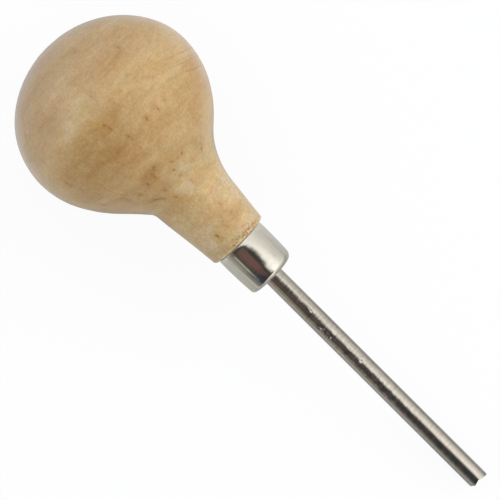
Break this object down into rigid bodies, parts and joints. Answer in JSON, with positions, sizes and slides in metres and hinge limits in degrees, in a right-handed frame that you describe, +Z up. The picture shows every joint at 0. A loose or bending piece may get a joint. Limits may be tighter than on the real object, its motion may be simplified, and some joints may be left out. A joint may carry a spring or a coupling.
{
  "type": "prong pusher",
  "caption": "Palm-held prong pusher: turned wooden ball handle, plated ferrule and a straight steel shaft notched at its tip to press prongs over a stone.",
  "frame": {"origin": "middle of the bottom of the part's box, on the table that the tool lies on", "axes": "+Z up from the table, +X from the handle to the tip, +Y the side that the tip's relief is not on"},
  "size_m": [0.118, 0.0392, 0.0391],
  "materials": {
    "wood": "turned pale hardwood with a thin satin lacquer",
    "nickel_plate": "polished nickel plate with fine wear",
    "steel": "ground bright steel with a notched, filed tip"
  },
  "bodies": {
    "root": {"handle": "wood", "ferrule": "nickel_plate", "shaft": "steel"}
  },
  "joints": []
}
